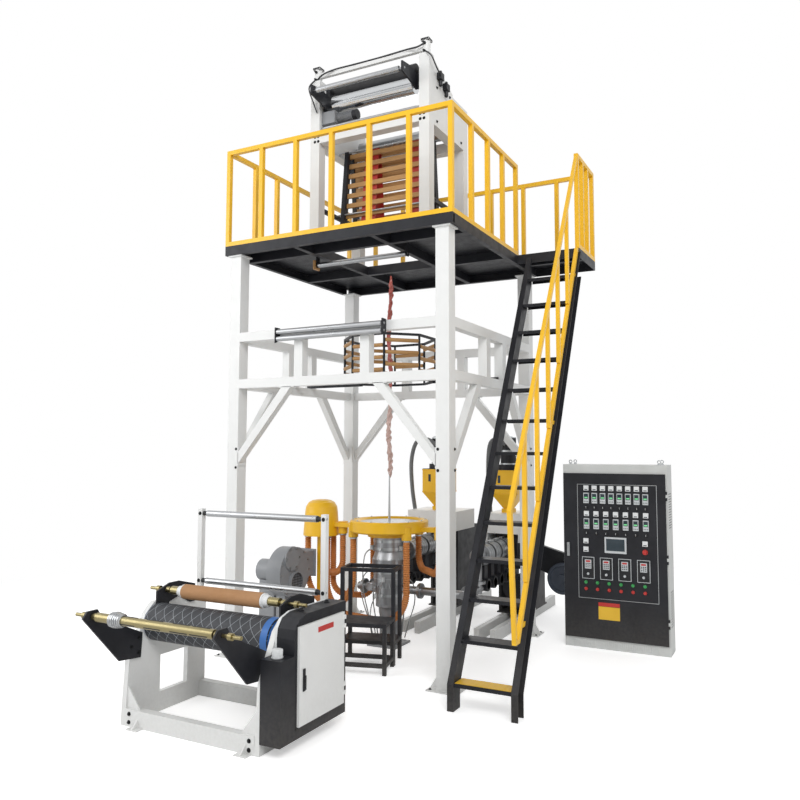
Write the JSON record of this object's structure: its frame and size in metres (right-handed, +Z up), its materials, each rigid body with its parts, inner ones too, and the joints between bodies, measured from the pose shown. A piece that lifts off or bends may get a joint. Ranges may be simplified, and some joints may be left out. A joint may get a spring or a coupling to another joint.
{
  "type": "blown_film_extrusion_line",
  "caption": "Two-extruder blown film line: platform tower with haul-off, die with air ring and bubble cage, surface winder, stair and control cabinet.",
  "frame": {"origin": "on the floor under the centre of the die", "axes": "+X to the operator's right towards the stair, +Y from the winder to the extruders' drive end, +Z up"},
  "size_m": [3.727, 5.525, 5.735],
  "materials": {
    "steel_white": "semi_gloss",
    "steel_grey": "semi_gloss",
    "deck_plate": "matte",
    "rail_yellow": "gloss",
    "steel_black": "semi_gloss",
    "cabinet_grey": "satin",
    "chrome_roll": "polished",
    "roll_rubber": "matte",
    "bright_steel": "satin",
    "die_steel": "satin",
    "drum_steel": "matte",
    "hose_orange": "satin",
    "shaft_brass": "satin",
    "slat_wood": "matte",
    "core_paper": "matte",
    "rail_red": "semi_gloss"
  },
  "bodies": {
    "frame_body": {"tower_columns": "steel_white", "ring_beams": "steel_white", "ring_posts": "steel_white", "knee_braces": "steel_white", "haul_off_posts": "steel_white", "haul_off_beams": "steel_white", "nip_cylinders": "steel_white", "extruder_bases": "steel_white", "barrel_covers": "steel_white", "winder_frame": "steel_white", "winder_uprights": "steel_white", "hopper_loaders": "steel_grey", "extruder_gearboxes": "steel_grey", "blower": "steel_grey", "die_base": "steel_grey", "platform_deck": "deck_plate", "stair_landing": "deck_plate", "stair_treads": "deck_plate", "front_and_back_railings": "rail_yellow", "side_railings": "rail_yellow", "stair_handrail": "rail_yellow", "air_distributor": "rail_yellow", "air_ring": "rail_yellow", "hoppers": "rail_yellow", "board_carriers": "steel_black", "stair_stringers": "steel_black", "nip_side_arms": "steel_black", "nip_bearings": "steel_black", "board_uprights": "steel_black", "roller_brackets": "steel_black", "platform_frame": "steel_black", "barrel_fans": "steel_black", "bubble_cage_frame": "steel_black", "work_stand": "steel_black", "drive_motors": "steel_black", "winder_arms": "steel_black", "winder_cabinet": "steel_black", "control_cabinet": "cabinet_grey", "board_spindles": "bright_steel", "die_body": "die_steel", "extruder_barrels": "die_steel", "board_slats": "slat_wood", "bubble_cage_rollers": "slat_wood", "board_rails": "rail_red", "air_hoses": "hose_orange"},
    "control_cabinet_door_body": {"control_cabinet_door": "steel_black"},
    "winder_cabinet_door_body": {"winder_cabinet_door": "steel_white"},
    "nip_chrome_roll_body": {"nip_chrome_roll": "chrome_roll"},
    "nip_rubber_roll_body": {"nip_rubber_roll": "roll_rubber"},
    "upper_guide_roll_body": {"upper_guide_roll": "bright_steel"},
    "rear_guide_roll_body": {"rear_guide_roll": "bright_steel"},
    "opening_roller_body": {"opening_roller": "bright_steel"},
    "ring_roller_upper_body": {"ring_roller_upper": "bright_steel"},
    "ring_roller_lower_body": {"ring_roller_lower": "bright_steel"},
    "winding_drum_body": {"winding_drum": "drum_steel"},
    "front_air_shaft_body": {"front_air_shaft": "shaft_brass"},
    "core_shaft_body": {"core_shaft": "shaft_brass", "paper_core": "core_paper"},
    "winder_upper_roller_body": {"winder_upper_roller": "bright_steel"},
    "winder_lower_roller_body": {"winder_lower_roller": "bright_steel"}
  },
  "joints": [
    {"name": "control_cabinet_door_hinge", "type": "hinge", "parent": "frame_body", "child": "control_cabinet_door_body", "pos_m": [2.508, 0.7267, 0.87], "axis": [0, 0, 1], "range_deg": [0, 110]},
    {"name": "winder_cabinet_door_hinge", "type": "hinge", "parent": "frame_body", "child": "winder_cabinet_door_body", "pos_m": [0.7633, -1.976, 0.45], "axis": [0, 0, 1], "range_deg": [0, 110]},
    {"name": "chrome_roll_turns", "type": "hinge", "parent": "frame_body", "child": "nip_chrome_roll_body", "pos_m": [0, -0.33, 5.355], "axis": [1, 0, 0], "continuous": true},
    {"name": "rubber_roll_turns", "type": "hinge", "parent": "frame_body", "child": "nip_rubber_roll_body", "pos_m": [0, -0.285, 5.513], "axis": [1, 0, 0], "continuous": true},
    {"name": "upper_guide_roll_turns", "type": "hinge", "parent": "frame_body", "child": "upper_guide_roll_body", "pos_m": [0, -0.65, 5.37], "axis": [1, 0, 0], "continuous": true},
    {"name": "rear_guide_roll_turns", "type": "hinge", "parent": "frame_body", "child": "rear_guide_roll_body", "pos_m": [0, 0.251, 5.1], "axis": [1, 0, 0], "continuous": true},
    {"name": "opening_roller_turns", "type": "hinge", "parent": "frame_body", "child": "opening_roller_body", "pos_m": [0, -0.555, 3.66], "axis": [1, 0, 0], "continuous": true},
    {"name": "ring_roller_upper_turns", "type": "hinge", "parent": "frame_body", "child": "ring_roller_upper_body", "pos_m": [0, -1.099, 2.935], "axis": [1, 0, 0], "continuous": true},
    {"name": "ring_roller_lower_turns", "type": "hinge", "parent": "frame_body", "child": "ring_roller_lower_body", "pos_m": [0, -1.099, 2.873], "axis": [1, 0, 0], "continuous": true},
    {"name": "winding_drum_turns", "type": "hinge", "parent": "frame_body", "child": "winding_drum_body", "pos_m": [0, -2.41, 0.65], "axis": [1, 0, 0], "continuous": true},
    {"name": "front_air_shaft_turns", "type": "hinge", "parent": "frame_body", "child": "front_air_shaft_body", "pos_m": [0, -2.968, 0.793], "axis": [1, 0, 0], "continuous": true},
    {"name": "core_shaft_turns", "type": "hinge", "parent": "frame_body", "child": "core_shaft_body", "pos_m": [0, -2.33, 0.862], "axis": [1, 0, 0], "continuous": true},
    {"name": "winder_upper_roller_turns", "type": "hinge", "parent": "frame_body", "child": "winder_upper_roller_body", "pos_m": [0, -1.95, 1.385], "axis": [1, 0, 0], "continuous": true},
    {"name": "winder_lower_roller_turns", "type": "hinge", "parent": "frame_body", "child": "winder_lower_roller_body", "pos_m": [0, -1.95, 0.868], "axis": [1, 0, 0], "continuous": true}
  ],
  "couplings": [
    {"joint": "rubber_roll_turns", "follows": "chrome_roll_turns", "ratio": -1.0933}
  ]
}
